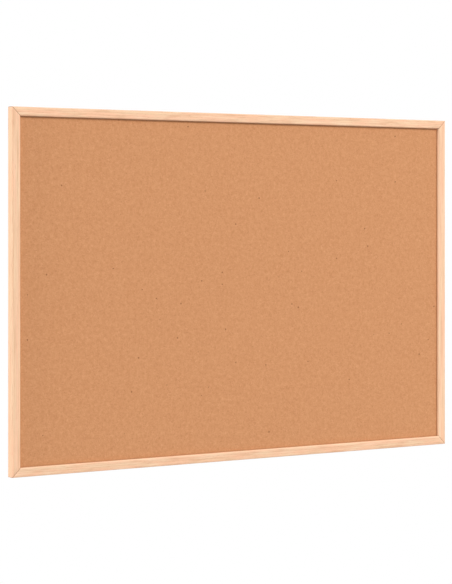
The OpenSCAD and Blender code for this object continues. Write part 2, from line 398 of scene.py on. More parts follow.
def effect(name, inputs, outputs):
    """A node group with named sockets; inputs and outputs give each socket's kind."""
    tree = bpy.data.node_groups.new(name, "ShaderNodeTree")
    for socket, kind in inputs.items():
        tree.interface.new_socket(socket, in_out="INPUT", socket_type=kind)
    for socket, kind in outputs.items():
        tree.interface.new_socket(socket, in_out="OUTPUT", socket_type=kind)
    return tree, tree.nodes.new("NodeGroupInput").outputs, tree.nodes.new("NodeGroupOutput").inputs


NUMBER = "NodeSocketFloat"
VECTOR = "NodeSocketVector"


def put_out(tree, outputs, **values):
    """Links values to an effect's outputs, by name."""
    for name, value in values.items():
        tree.links.new(value, outputs[name])


def long_grain_effect():
    """Wood that grew along X: rings round the X axis, streaks, fine fibres and open pores, all drawn out
    along X."""
    tree, given, out = effect(
        "long_grain",
        {"Vector": VECTOR, "Ring Width": NUMBER, "Stretch": NUMBER},
        {"Rings": NUMBER, "Streaks": NUMBER, "Tint": NUMBER, "Fibres": NUMBER, "Pores": NUMBER},
    )
    shorten = maths(tree, "DIVIDE", 1.0, given["Stretch"])
    shorten = add(tree, "ShaderNodeCombineXYZ", {0: shorten, 1: 1.0, 2: 1.0}).outputs[0]
    log = vectors(tree, "MULTIPLY", given["Vector"], shorten)
    bend = cloud(tree, log, (260 * MM, 24 * MM, 24 * MM))[1]
    bend = vectors(tree, "MULTIPLY", vectors(tree, "SUBTRACT", bend, (0.5, 0.5, 0.5)), (0, 5 * MM, 5 * MM))
    log = vectors(tree, "ADD", log, bend)
    spoke = vectors(tree, "MULTIPLY", log, (0, 1, 1))
    radius = add(tree, "ShaderNodeVectorMath", {0: spoke}, operation="LENGTH").outputs["Value"]
    wobble = cloud(tree, log, (70 * MM, 5 * MM, 5 * MM))[0]
    phase = maths(tree, "ADD", maths(tree, "DIVIDE", radius, given["Ring Width"]), wobble)
    season = maths(tree, "FRACT", phase)
    rise = ease_range(tree, season, 0.0, 0.10)
    rings = maths(tree, "MULTIPLY", rise, ease_range(tree, season, 0.12, 0.65, 1.0, 0.0))
    dashes = ease_range(tree, cloud(tree, log, (6 * MM, 0.30 * MM, 0.30 * MM), 1.0)[0], 0.58, 0.68)
    pores = maths(tree, "MULTIPLY", dashes, maths(tree, "MULTIPLY_ADD", rings, 0.75, 0.25))
    put_out(
        tree, out,
        Rings=rings,
        Streaks=cloud(tree, log, (50 * MM, 4.2 * MM, 4.2 * MM), 2.0)[0],
        Tint=cloud(tree, log, (60 * MM, 7 * MM, 7 * MM), 2.0)[0],
        Fibres=cloud(tree, log, (16 * MM, 0.40 * MM, 0.40 * MM), 2.0)[0],
        Pores=pores,
    )
    return tree


def board_lines_effect():
    """How near a point of the board lies to a mitre plane and to the sight edge, where the frame meets the
    cork: each from 1 on the line to 0 at its given width."""
    tree, given, out = effect(
        "board_lines",
        {"Vector": VECTOR, "Mitre Width": NUMBER, "Sight Width": NUMBER},
        {"Mitre": NUMBER, "Sight": NUMBER},
    )
    place = add(tree, "ShaderNodeSeparateXYZ", {0: given["Vector"]}).outputs
    from_side = maths(tree, "SUBTRACT", HALF_W, maths(tree, "ABSOLUTE", place["X"]))
    rise = maths(tree, "SUBTRACT", place["Z"], MID_Z)
    from_end = maths(tree, "SUBTRACT", HALF_H, maths(tree, "ABSOLUTE", rise))
    off_mitre = maths(tree, "ABSOLUTE", maths(tree, "SUBTRACT", from_side, from_end))
    off_sight = maths(tree, "SUBTRACT", maths(tree, "MINIMUM", from_side, from_end), FACE)
    off_sight = maths(tree, "ABSOLUTE", off_sight)
    put_out(
        tree, out,
        Mitre=maths(tree, "SUBTRACT", 1.0, ease_range(tree, off_mitre, 0.0, given["Mitre Width"])),
        Sight=maths(tree, "SUBTRACT", 1.0, ease_range(tree, off_sight, 0.0, given["Sight Width"])),
    )
    return tree


def mottle_effect():
    """Soft blotches at two sizes and a fine tooth, which break up any plain colour."""
    tree, given, out = effect(
        "mottle",
        {"Vector": VECTOR, "Broad Scale": NUMBER, "Fine Scale": NUMBER, "Tooth Scale": NUMBER},
        {"Broad": NUMBER, "Fine": NUMBER, "Tooth": NUMBER},
    )
    for name, detail in (("Broad", 2.0), ("Fine", 3.0), ("Tooth", 2.0)):
        sockets = {"Vector": given["Vector"], "Scale": given[name + " Scale"], "Detail": detail}
        put_out(tree, out, **{name: add(tree, "ShaderNodeTexNoise", sockets).outputs[0]})
    return tree


def flecks_effect():
    """Scattered flecks: cells of the given scale, of which a share holds a ragged fleck of about the given
    radius, in cells."""
    tree, given, out = effect(
        "flecks",
        {"Vector": VECTOR, "Cell Scale": NUMBER, "Share": NUMBER, "Radius": NUMBER, "Ragged": NUMBER},
        {"Mask": NUMBER},
    )
    ragged = add(tree, "ShaderNodeTexNoise", {"Vector": given["Vector"], "Detail": 2.0})
    tree.links.new(maths(tree, "MULTIPLY", given["Cell Scale"], 2.3), ragged.inputs["Scale"])
    pull = vectors(tree, "SUBTRACT", ragged.outputs[1], (0.5, 0.5, 0.5))
    pull = add(tree, "ShaderNodeVectorMath", {0: pull, "Scale": given["Ragged"]}, operation="SCALE")
    place = vectors(tree, "ADD", given["Vector"], pull.outputs[0])
    cells = add(tree, "ShaderNodeTexVoronoi", {"Vector": place, "Scale": given["Cell Scale"]})
    chance = add(tree, "ShaderNodeSeparateColor", {0: cells.outputs["Color"]}).outputs
    held = maths(tree, "LESS_THAN", chance["Red"], given["Share"])
    size = maths(tree, "MULTIPLY", given["Radius"], maths(tree, "MULTIPLY_ADD", chance["Green"], 0.9, 0.35))
    near = maths(tree, "DIVIDE", cells.outputs["Distance"], size)
    put_out(tree, out, Mask=maths(tree, "MULTIPLY", held, ease_range(tree, near, 0.7, 1.1, 1.0, 0.0)))
    return tree


def fibres_effect():
    """Short fibres lying three ways in the sheet's plane, as in felted and pressed stuff."""
    tree, given, out = effect(
        "fibres", {"Vector": VECTOR, "Length": NUMBER, "Thickness": NUMBER}, {"Mask": NUMBER}
    )
    fine = maths(tree, "DIVIDE", 1.0, given["Thickness"])
    along = maths(tree, "DIVIDE", 1.0, given["Length"])
    stretch = add(tree, "ShaderNodeCombineXYZ", {0: along, 1: fine, 2: fine}).outputs[0]
    lain = []
    for turn in (0.5, -0.7, 1.4):
        way = swung(tree, given["Vector"], turn)
        strands = cloud(tree, vectors(tree, "MULTIPLY", way, stretch), 1.0, 1.0)[0]
        lain.append(ease_range(tree, strands, 0.56, 0.72))
    put_out(tree, out, Mask=maths(tree, "MAXIMUM", lain[0], maths(tree, "MAXIMUM", lain[1], lain[2])))
    return tree


def rubbed_effect():
    """Fine rubbed lines in metal, crossing at a low angle, and smudges from handling."""
    tree, given, out = effect("rubbed", {"Vector": VECTOR}, {"Lines": NUMBER, "Smudge": NUMBER})
    lines = []
    for turn in (0.15, -0.35):
        way = swung(tree, given["Vector"], turn)
        lines.append(cloud(tree, way, (3 * MM, 0.10 * MM, 0.10 * MM), 1.0)[0])
    put_out(
        tree, out,
        Lines=maths(tree, "MULTIPLY", lines[0], lines[1]),
        Smudge=cloud(tree, given["Vector"], 2.6 * MM, 3.0, 0.6)[0],
    )
    return tree


LONG_GRAIN = long_grain_effect()
BOARD_LINES = board_lines_effect()
MOTTLE = mottle_effect()
FLECKS = flecks_effect()
FIBRES = fibres_effect()
RUBBED = rubbed_effect()


def use(tree, group, **sockets):
    """An effect placed in a material; a socket's name is written with underscores for spaces."""
    named = {name.replace("_", " "): value for name, value in sockets.items()}
    return add(tree, "ShaderNodeGroup", named, node_tree=group).outputs


def mottled(tree, place, fine, tooth, broad=1.0):
    """The mottle effect, by the sizes of its fine blotches, its tooth and its broad blotches."""
    sockets = {"Broad_Scale": 1 / broad, "Fine_Scale": 1 / fine, "Tooth_Scale": 1 / tooth}
    return use(tree, MOTTLE, Vector=place, **sockets)


def flecked(tree, place, cell, share, radius, ragged):
    """The mask of flecks in a share of the cells of a size: a radius in cells, a ragged edge in metres."""
    sockets = {"Cell_Scale": 1 / cell, "Share": share, "Radius": radius, "Ragged": ragged}
    return use(tree, FLECKS, Vector=place, **sockets)["Mask"]


def new_material(name):
    """A new material: its tree, its shader and the object's own coordinates."""
    material = bpy.data.materials.new(name)
    material.use_nodes = True
    tree = material.node_tree
    shader = tree.nodes["Principled BSDF"]
    return material, tree, shader, tree.nodes.new("ShaderNodeTexCoord").outputs["Object"]


def finish_with(tree, shader, colour, roughness, height, depth, **plain):
    """Links colour, roughness and relief to the shader, and sets its plain values; depth is the relief's,
    in metres."""
    tree.links.new(colour, shader.inputs["Base Color"])
    tree.links.new(roughness, shader.inputs["Roughness"])
    relief = add(tree, "ShaderNodeBump", {"Height": height, "Distance": depth, "Strength": 1.0})
    tree.links.new(relief.outputs[0], shader.inputs["Normal"])
    for name, value in plain.items():
        shader.inputs[name.replace("_", " ")].default_value = value


def weighed(tree, *terms):
    """The sum of values times their weights."""
    total = 0.0
    for value, weight in terms:
        total = maths(tree, "MULTIPLY_ADD", value, weight, total)
    return total


def tinted(tree, colour, mask, weight, tint):
    """A colour turned to a tint where a mask shows, at a weight."""
    return blend(tree, maths(tree, "MULTIPLY", mask, weight), colour, tint)


def shaded(tree, colour, value, dark, light):
    """A colour times a tone, which goes from dark to light as a value goes from 0.3 to 0.7."""
    return blend(tree, 1.0, colour, straight_range(tree, value, 0.3, 0.7, dark, light), "MULTIPLY")


# Finishes

def oak(node, pith, along, stretch, tone, sight_highlight):
    """Pale oak, sanded and sealed. Its log lies along the member, with its pith off the member's middle;
    along is the member's place in the log, stretch how far its figure is drawn out, tone how light this
    length of wood is, and the last argument how strongly a painted highlight lightens its sight edge."""
    material, tree, shader, place = new_material("oak_" + node)
    low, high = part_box(node)
    middle = (low + high) / 2
    upright = is_upright(MEMBERS[node])
    centre = (middle.z, middle.y, -middle.x) if upright else tuple(middle)
    to_log = add(tree, "ShaderNodeMapping", {"Vector": place})
    to_log.inputs["Rotation"].default_value = (0, math.radians(90) if upright else 0, 0)
    to_log.inputs["Location"].default_value = (along - centre[0], pith[0] - centre[1], pith[1] - centre[2])
    grain = use(tree, LONG_GRAIN, Vector=to_log.outputs[0], Ring_Width=2.6 * MM, Stretch=stretch)
    lines = use(tree, BOARD_LINES, Vector=place, Mitre_Width=0.9 * MM, Sight_Width=2.6 * MM)

    warm = ease_range(tree, grain["Tint"], 0.34, 0.66)
    colour = blend(tree, warm, ink(251, 199, 163), ink(247, 209, 172))
    dark_streaks = ease_range(tree, grain["Streaks"], 0.50, 0.70, 0.0, 0.7)
    colour = blend(tree, dark_streaks, colour, ink(232, 182, 145))
    pale_streaks = ease_range(tree, grain["Streaks"], 0.46, 0.30, 0.0, 0.6)
    colour = blend(tree, pale_streaks, colour, ink(255, 217, 185))
    colour = tinted(tree, colour, grain["Rings"], 0.30, ink(228, 177, 139))
    colour = shaded(tree, colour, grain["Fibres"], 0.96 * tone, 1.03 * tone)
    colour = tinted(tree, colour, grain["Pores"], 0.45, ink(186, 133, 95))
    # Painted highlight: the sight edge lightened, by an amount set for each member to suit how the light
    # falls on it.
    colour = tinted(tree, colour, lines["Sight"], sight_highlight, ink(250, 216, 184))
    colour = tinted(tree, colour, lines["Mitre"], 0.85, ink(146, 80, 42))

    height = weighed(tree, (grain["Pores"], -1.0), (grain["Rings"], -0.25), (grain["Fibres"], 0.3))
    roughness = weighed(tree, (grain["Pores"], 0.25), (grain["Fibres"], 0.12), (grain["Streaks"], 0.10))
    roughness = maths(tree, "ADD", roughness, 0.42)
    finish_with(tree, shader, colour, roughness, height, 0.06 * MM, Specular_IOR_Level=0.30)
    return material


def cork():
    """Fine agglomerated cork: small pressed grains of near tones, a thin binder between them, sparse flecks
    of bark, and painted shade along the frame, where the lip's shadow falls."""
    material, tree, shader, place = new_material("cork_grain")
    mottle = mottled(tree, place, fine=6.5 * MM, tooth=0.5 * MM)
    bend = vectors(tree, "SUBTRACT", cloud(tree, place, 1.2 * MM)[1], (0.5, 0.5, 0.5))
    bent = vectors(tree, "ADD", place, vectors(tree, "MULTIPLY", bend, (0.9 * MM, 0.9 * MM, 0.9 * MM)))
    cells = {"Vector": bent, "Scale": 1 / (1.9 * MM)}
    grains = add(tree, "ShaderNodeTexVoronoi", cells)
    seams = add(tree, "ShaderNodeTexVoronoi", cells, feature="DISTANCE_TO_EDGE")
    tone = add(tree, "ShaderNodeSeparateColor", {0: grains.outputs["Color"]}).outputs
    binder = ease_range(tree, seams.outputs["Distance"], 0.0, 0.12, 1.0, 0.0)
    bark = flecked(tree, place, 7 * MM, share=0.03, radius=0.185, ragged=1.5 * MM)
    dust = flecked(tree, place, 3 * MM, share=0.07, radius=0.16, ragged=0.7 * MM)
    sight = use(tree, BOARD_LINES, Vector=place, Mitre_Width=1 * MM, Sight_Width=3.6 * MM)["Sight"]

    colour = blend(tree, tone["Red"], ink(207, 146, 101), ink(214, 154, 109))
    pale_grains = ease_range(tree, tone["Green"], 0.86, 0.98, 0.0, 0.32)
    colour = blend(tree, pale_grains, colour, ink(224, 168, 122))
    dark_grains = ease_range(tree, tone["Blue"], 0.88, 0.98, 0.0, 0.45)
    colour = blend(tree, dark_grains, colour, ink(192, 129, 88))
    colour = tinted(tree, colour, binder, 0.22, ink(188, 124, 82))
    patch = blend(tree, mottle["Fine"], (0.89, 0.835, 0.77, 1), (1.09, 1.145, 1.21, 1))
    colour = blend(tree, 1.0, colour, patch, "MULTIPLY")
    colour = tinted(tree, colour, dust, 0.45, ink(176, 114, 75))
    colour = tinted(tree, colour, bark, 0.8, ink(146, 90, 56))
    # Painted shade: the cork darkened near the frame's sight edge, where the lip's shadow falls.
    colour = tinted(tree, colour, sight, 0.6, ink(166, 125, 93))

    height = weighed(tree, (binder, -0.8), (tone["Red"], 0.5), (mottle["Tooth"], 0.5), (bark, -0.6))
    roughness = maths(tree, "MULTIPLY_ADD", mottle["Tooth"], 0.15, 0.80)
    finish_with(tree, shader, colour, roughness, height, 0.10 * MM, Specular_IOR_Level=0.12)
    return material


def softboard():
    """Wood-fibre softboard: matted brown wool with paler fibres and darker chips."""
    material, tree, shader, place = new_material("softboard_fibre")
    mottle = mottled(tree, place, fine=5 * MM, tooth=0.6 * MM, broad=40 * MM)
    fibre = use(tree, FIBRES, Vector=place, Length=7 * MM, Thickness=0.5 * MM)["Mask"]
    chips = flecked(tree, place, 4 * MM, share=0.25, radius=0.25, ragged=1.5 * MM)
    colour = blend(tree, ease_range(tree, mottle["Fine"], 0.3, 0.7), ink(148, 117, 82), ink(166, 134, 97))
    colour = tinted(tree, colour, fibre, 0.5, ink(188, 158, 119))
    colour = tinted(tree, colour, chips, 0.5, ink(116, 86, 57))
    colour = shaded(tree, colour, mottle["Broad"], 0.94, 1.04)
    height = weighed(tree, (fibre, 1.0), (mottle["Tooth"], 0.6))
    roughness = maths(tree, "MULTIPLY_ADD", mottle["Tooth"], 0.1, 0.85)
    finish_with(tree, shader, colour, roughness, height, 0.25 * MM, Specular_IOR_Level=0.15)
    return material


def kraft():
    """Brown kraft liner: fine fibres, a faint machine direction, darker specks and a slight gloss."""
    material, tree, shader, place = new_material("kraft_liner")
    mottle = mottled(tree, place, fine=12 * MM, tooth=0.7 * MM, broad=120 * MM)
    fibre = use(tree, FIBRES, Vector=place, Length=4 * MM, Thickness=0.28 * MM)["Mask"]
    specks = flecked(tree, place, 6 * MM, share=0.12, radius=0.09, ragged=1.0 * MM)
    machine = cloud(tree, place, (0.9, 2 * MM, 2.2 * MM), 2.0)[0]
    colour = blend(tree, ease_range(tree, mottle["Fine"], 0.3, 0.7), ink(179, 142, 97), ink(187, 149, 103))
    colour = tinted(tree, colour, fibre, 0.28, ink(209, 174, 130))
    colour = shaded(tree, colour, machine, 0.965, 1.03)
    colour = shaded(tree, colour, mottle["Broad"], 0.95, 1.04)
    colour = tinted(tree, colour, specks, 0.6, ink(112, 80, 48))
    height = weighed(tree, (fibre, 0.8), (mottle["Tooth"], 0.4), (machine, 0.8))
    roughness = straight_range(tree, mottle["Fine"], 0.3, 0.7, 0.58, 0.72)
    finish_with(tree, shader, colour, roughness, height, 0.05 * MM, Specular_IOR_Level=0.25)
    return material


def plated(name, clean, dull, rough_low, rough_high, stain):
    """Plated or drawn steel: rubbed lines and smudges in the gloss, a thin stain in smudges and pits."""
    material, tree, shader, place = new_material(name)
    rubbed = use(tree, RUBBED, Vector=place)
    mottle = mottled(tree, place, fine=0.9 * MM, tooth=0.15 * MM)
    pits = flecked(tree, place, 0.8 * MM, share=0.16, radius=0.14, ragged=0.15 * MM)
    colour = blend(tree, ease_range(tree, mottle["Fine"], 0.35, 0.65), clean, dull)
    colour = blend(tree, ease_range(tree, rubbed["Smudge"], 0.52, 0.74, 0.0, 0.45), colour, stain)
    colour = tinted(tree, colour, pits, 0.5, stain)
    gloss = weighed(tree, (rubbed["Lines"], 0.5), (rubbed["Smudge"], 0.5))
    roughness = straight_range(tree, gloss, 0.22, 0.52, rough_low, rough_high)
    height = weighed(tree, (rubbed["Lines"], 0.7), (pits, -0.8), (mottle["Tooth"], 0.25))
    finish_with(tree, shader, colour, roughness, height, 0.012 * MM, Metallic=1.0)
    return material


def felt():
    """Pressed grey felt: matted fibres of several greys with a soft nap."""
    material, tree, shader, place = new_material("grey_felt")
    mottle = mottled(tree, place, fine=0.7 * MM, tooth=0.18 * MM, broad=3 * MM)
    fibre = use(tree, FIBRES, Vector=place, Length=1.6 * MM, Thickness=0.12 * MM)["Mask"]
    colour = blend(tree, ease_range(tree, mottle["Fine"], 0.3, 0.7), ink(70, 68, 66), ink(90, 88, 85))
    colour = tinted(tree, colour, fibre, 0.55, ink(132, 129, 124))
    colour = shaded(tree, colour, mottle["Broad"], 0.88, 1.08)
    height = weighed(tree, (fibre, 0.9), (mottle["Tooth"], 0.7))
    roughness = maths(tree, "MULTIPLY_ADD", mottle["Tooth"], 0.1, 0.88)
    shader.inputs["Sheen Weight"].default_value = 0.25
    finish_with(tree, shader, colour, roughness, height, 0.15 * MM, Specular_IOR_Level=0.1)
    return material


CORK = cork()
SOFTBOARD = softboard()
KRAFT = kraft()
ZINC = plated("zinc_plate", ink(205, 207, 211), ink(188, 192, 199), 0.22, 0.40, ink(160, 154, 140))
BRIGHT_STEEL = plated("bright_steel", ink(178, 179, 182), ink(160, 162, 167), 0.26, 0.46, ink(116, 106, 94))
FELT = felt()
# The last number for each member is the strength of the painted highlight on its sight edge.
OAK = {
    "top_rail": oak("top_rail", (34 * MM, 26 * MM), along=0.3, stretch=0.9, tone=0.975, sight_highlight=0.3),
    "bottom_rail": oak("bottom_rail", (-29 * MM, 33 * MM), along=2.1, stretch=0.9, tone=0.95, sight_highlight=0.35),
    "left_stile": oak("left_stile", (31 * MM, -24 * MM), along=5.68, stretch=2.4, tone=0.974, sight_highlight=0.0),
    "right_stile": oak("right_stile", (-26 * MM, -36 * MM), along=6.4, stretch=2.4, tone=1.0, sight_highlight=0.5),
}


# Frame members

def on_side(side, along, depth, across):
    """Points of the member on a side, from their place along it, from its back face and from its outer
    edge: a member on top, turned about the board's middle."""
    turn = math.radians(side)
    reach = (HALF_W if is_upright(side) else HALF_H) + across
    x = along * math.cos(turn) + reach * math.sin(turn)
    z = MID_Z - along * math.sin(turn) + reach * math.cos(turn)
    return np.stack([x, BACK_Y + depth + 0 * x, z], axis=-1)


def member_outline():
    """Section of a member in (depth, across), from the outer back edge round to it again: straight runs,
    and a quarter circle on each front edge."""
    outer, sight = OUTER_EDGE_R, SIGHT_EDGE_R
    return np.concatenate([
        run((0, -BACK_CHAMFER), (-BACK_CHAMFER, 0), 2),
        run((-BACK_CHAMFER, 0), (outer - DEPTH, 0), 5),
        arc((outer - DEPTH, -outer), outer, 90, 180, 11),
        run((-DEPTH, -outer), (-DEPTH, sight - FACE), 6)[1:],
        arc((sight - DEPTH, sight - FACE), sight, 180, 270, 8),
        run((sight - DEPTH, -FACE), (LIP - DEPTH, -FACE), 3)[1:],
        run((LIP - DEPTH, -FACE), (LIP - DEPTH, -BACK_W), 3),
        run((LIP - DEPTH, -BACK_W), (0, -BACK_W), 5),
        run((0, -BACK_W), (0, -BACK_CHAMFER), 4),
    ])


def member_solid(side, stations=90):
    """A member: its section carried along it, and sheared at each end to the mitre, whose edges are eased.

    At a distance from the mitre, measured along the member, a point lies at half the length less its own
    distance from the outer edge.
    """
    rise, draw = eased_end(MITRE_EASE)
    share = np.concatenate([-np.ones(len(rise)), np.linspace(-1, 1, stations)[1:-1], np.ones(len(rise))])
    from_end = np.concatenate([rise, np.full(stations - 2, MITRE_EASE), rise[::-1]])
    outlines = drawn_in(member_outline(), np.concatenate([draw, np.zeros(stations - 2), draw[::-1]]))
    depth, across = outlines[..., 0], outlines[..., 1]
    half = (member_length(side) - MITRE_GAP * math.sqrt(2)) / 2
    along = share[:, None] * (half + across - from_end[:, None])
    return tube(on_side(side, along, depth, across))


# Corner V-nails

def v_nail_outline(fold, grow=0.0):
    """Plan of a V-nail from the frame's outer corner: a strip along both arms of a right angle, grown all
    round for its slot.

    Half the strip's width is offset to each side of the arms, and swells to a circle at each wing's curled
    edge. On the inner side the points nearer to the fold than that are left out.
    """
    curl = V_NAIL_CURL_R + grow
    way = (V_NAIL_WING + curl) * np.sin(np.radians(np.linspace(-90, 90, 81)))
    inside_curl = V_NAIL_WING - np.abs(way)
    swell = np.sqrt(np.clip(curl ** 2 - inside_curl ** 2, 0, None))
    half = np.where(inside_curl > 0, np.maximum(swell, V_NAIL_T / 2 + grow), swell)[:, None]
    line = -fold - np.column_stack([np.clip(-way, 0, None), np.clip(way, 0, None)])
    offside = np.column_stack([way >= 0, way <= 0]) * half
    clear_of_fold = (way == 0) | (np.abs(way) > V_NAIL_T / 2 + grow)
    return np.concatenate([line + offside, (line - offside)[clear_of_fold][-2:0:-1]])


def corner_prism(right, up, outlines, levels):
    """A prism at one corner: an outline for each level in y, with the outer corner at its origin."""
    x = right * (HALF_W + outlines[..., 0])
    z = MID_Z + up * (HALF_H + outlines[..., 1])
    return tube(np.stack([x, np.broadcast_to(levels[:, None], x.shape), z], axis=-1))


V_NAIL_FOLDS = [V_NAIL_INSET + i * V_NAIL_STEP for i in range(V_NAIL_COUNT)]


def v_nails(right, up):
    """The V-nails of one corner: prisms with eased ends, sunk a little below the frame's back."""
    near = BACK_Y - V_NAIL_SINK
    levels, draw = eased_levels(near - V_NAIL_H, near, STEEL_EASE)
    return [corner_prism(right, up, drawn_in(v_nail_outline(fold), draw), levels) for fold in V_NAIL_FOLDS]


def v_nail_slots(right, up):
    """The slots of one corner's V-nails, open at the frame's back."""
    levels = np.array([BACK_Y - V_NAIL_SINK - V_NAIL_H - DRIVE_CLEAR, BACK_Y + OVER])
    slots = [v_nail_outline(fold, DRIVE_CLEAR) for fold in V_NAIL_FOLDS]
    return [corner_prism(right, up, np.stack([slot, slot]), levels) for slot in slots]


# Panel points

def point_stations(side):
    """Places of the panel points from a member's middle: evenly spread, no further apart than their
    spacing."""
    span = member_length(side) - 2 * POINT_END
    gaps = math.ceil(span / POINT_SPACING - TINY)
    return span * (np.arange(gaps + 1) / gaps - 0.5)


def panel_points(side, grow=0.0):
    """Flat pointed tabs on the backing paper, one at each station, from an outline in (along, across) of
    the rebate's wall. For their slots they are grown, and their edges stay square."""
    half = POINT_W / 2 + grow
    shoulder = POINT_BITE - POINT_TIP
    outline = np.array([
        (-half, -POINT_GRIP), (half, -POINT_GRIP),
        (half, shoulder), (0, POINT_BITE + grow), (-half, shoulder),
    ])
    near = paper_high.y - BACK_Y - grow
    levels, draw = eased_levels(near, near + POINT_T + 2 * grow, STEEL_EASE)
    rows = drawn_in(outline, draw if grow == 0 else 0 * draw)
    depth = np.broadcast_to(levels[:, None], rows.shape[:2])
    return [
        tube(on_side(side, rows[..., 0] + station, depth, rows[..., 1] - BACK_W))
        for station in point_stations(side)
    ]


# Hangers: a D-shaped ring in a folded strap, held by a screw

def ring_solid(pivot):
    """A round wire along a closed D: a bar, two bends, two legs and a half-circle crown, leaning towards
    the frame."""
    bar = STRAP_W / 2 + RING_SIDE_GAP
    wide = bar + RING_BEND_R
    path = np.concatenate([
        run((-bar, 0), (bar, 0), 16),
        arc((bar, RING_BEND_R), RING_BEND_R, -90, 0, 12),
        run((wide, RING_BEND_R), (wide, SCREW_DROP), 6)[1:],
        arc((0, SCREW_DROP), wide, 0, 180, 48),
        run((-wide, SCREW_DROP), (-wide, RING_BEND_R), 6)[1:],
        arc((-bar, RING_BEND_R), RING_BEND_R, 180, 270, 12)[:-1],
    ])
    tangent = np.roll(path, -1, axis=0) - np.roll(path, 1, axis=0)
    tangent /= np.linalg.norm(tangent, axis=1, keepdims=True)
    turn = np.linspace(0, 2 * np.pi, 24, endpoint=False)
    out = RING_WIRE_R * np.cos(turn)
    x = path[:, :1] + tangent[:, 1:] * out
    up = path[:, 1:] - tangent[:, :1] * out
    off = np.broadcast_to(RING_WIRE_R * np.sin(turn), x.shape)
    lean = math.asin((EYE_OUTER_R - RING_WIRE_R - RING_REST_GAP) / (SCREW_DROP + wide))
    y = off * math.cos(lean) - up * math.sin(lean)
    z = off * math.sin(lean) + up * math.cos(lean)
    return tube(np.stack([x, y, z], axis=-1) + np.array(pivot), loop=True)


def strap_path():
    """Middle line of the folded strip in (y, z) from the bar: up the leaf on the frame, round the bar,
    through a reverse bend that touches the eye's circle, and down the leaf on the wall side. Its points
    crowd towards the tail, on a cosine."""
    eye = EYE_OUTER_R - STRAP_T / 2
    leaf_y = LEAF_WALL_Y - STRAP_T / 2
    bend_y = leaf_y + REVERSE_BEND_R
    bend_z = -math.sqrt((eye + REVERSE_BEND_R) ** 2 - bend_y ** 2)
    meet = math.degrees(math.atan2(bend_z, bend_y))
    tail = STRAP_LEN * (1 - np.cos(np.radians(np.linspace(6, 90, 28)))) - STRAP_LEN
    below = tail[tail < bend_z][::-1]
    return np.concatenate([
        np.column_stack([np.full(len(tail), -eye), tail]),
        arc((0, 0), eye, 180, meet, 44)[1:],
        arc((bend_y, bend_z), REVERSE_BEND_R, meet + 180, 180, 12)[1:],
        np.column_stack([np.full(len(below), leaf_y), below]),
    ])


def strap_solid(pivot):
    """A flat strip with eased edges along the strap's path, narrowing to a round tail below the screw."""
    path = strap_path()
    tangent = np.gradient(path, axis=0)
    tangent /= np.linalg.norm(tangent, axis=1, keepdims=True)
    below_screw = np.clip(-SCREW_DROP - path[:, 1:], 0, None)
    half = np.sqrt(np.clip((STRAP_W / 2) ** 2 - below_screw ** 2, 0, None))
    turn = np.radians(np.linspace(0, 90, 4) + 90 * np.arange(4)[:, None]).ravel()
    ease_x = np.minimum(STRAP_EASE, half)
    x = np.sign(np.cos(turn + TINY)) * (half - ease_x) + ease_x * np.cos(turn)
    off = np.sign(np.sin(turn + TINY)) * (STRAP_T / 2 - STRAP_EASE) + STRAP_EASE * np.sin(turn)
    y = path[:, :1] - tangent[:, 1:] * off
    z = path[:, 1:] + tangent[:, :1] * off
    return tube(np.stack([x, y, z], axis=-1) + np.array(pivot))


def at_screw(pivot, rows):
    """Rows of (right, up, height) set on a hanger's screw: height zero under the head, towards the wall."""
    foot = np.array(pivot) + [0, LEAF_WALL_Y, -SCREW_DROP]
    return np.stack([rows[..., 0], rows[..., 2], rows[..., 1]], axis=-1) + foot


def shank_profile(grow, top):
    """A screw's point and straight shank in (radius, height), grown for its pilot hole."""
    radius = SCREW_R + grow
    return np.array([
        (SCREW_POINT_R, -SCREW_LEN - grow), (radius, SCREW_TIP - SCREW_LEN), (radius, top),
    ])


def screw_solid(pivot):
    """A pan-head screw turned from its profile: point, shank, eased rim and a dome that is part of a
    sphere."""
    rise = HEAD_H - HEAD_RIM_H
    dome_r = (HEAD_R ** 2 + rise ** 2) / (2 * rise)
    reach = np.linspace(HEAD_R - HEAD_EDGE_R, HEAD_MIDDLE_R, 12)
    dome = np.column_stack([reach, HEAD_H - dome_r + np.sqrt(dome_r ** 2 - reach ** 2)])
    shoulder = arc((HEAD_R - HEAD_EDGE_R, dome[0, 1] - HEAD_EDGE_R), HEAD_EDGE_R, 0, 90, 5)[:-1]
    rim = arc((HEAD_R - HEAD_EDGE_R / 2, HEAD_EDGE_R / 2), HEAD_EDGE_R / 2, -90, 0, 4)
    profile = np.concatenate([shank_profile(0, 0), rim, shoulder, dome])
    return tube(at_screw(pivot, turned(profile)))


def recess_solid(pivot):
    """A cross recess: the outline of two crossed bars, narrowing in proportion to its depth."""
    arm, half = RECESS_ARM, RECESS_HALF_W
    corner = np.array([(arm, -half), (arm, half), (half, half)])
    cross = np.concatenate([corner @ [[c, s], [-s, c]] for c, s in ((1, 0), (0, 1), (-1, 0), (0, -1))])
    levels = np.array([HEAD_H - RECESS_DEPTH, HEAD_H + OVER])
    wide = np.array([RECESS_FOOT_SHARE, 1 + (1 - RECESS_FOOT_SHARE) * OVER / RECESS_DEPTH])
    rows = cross * wide[:, None, None]
    height = np.broadcast_to(levels[:, None, None], (*rows.shape[:2], 1))
    return tube(at_screw(pivot, np.concatenate([rows, height], axis=-1)))


def rod(pivot, profile):
    """A round solid about a hanger's screw, turned from its profile."""
    return tube(at_screw(pivot, turned(profile, segments=32)))


# Panel and pads

def panel_grid(low, high, cells):
    """Places across and up a panel on an even grid of cells."""
    wide, tall = cells
    return np.meshgrid(np.linspace(low.x, high.x, wide + 1), np.linspace(low.z, high.z, tall + 1))


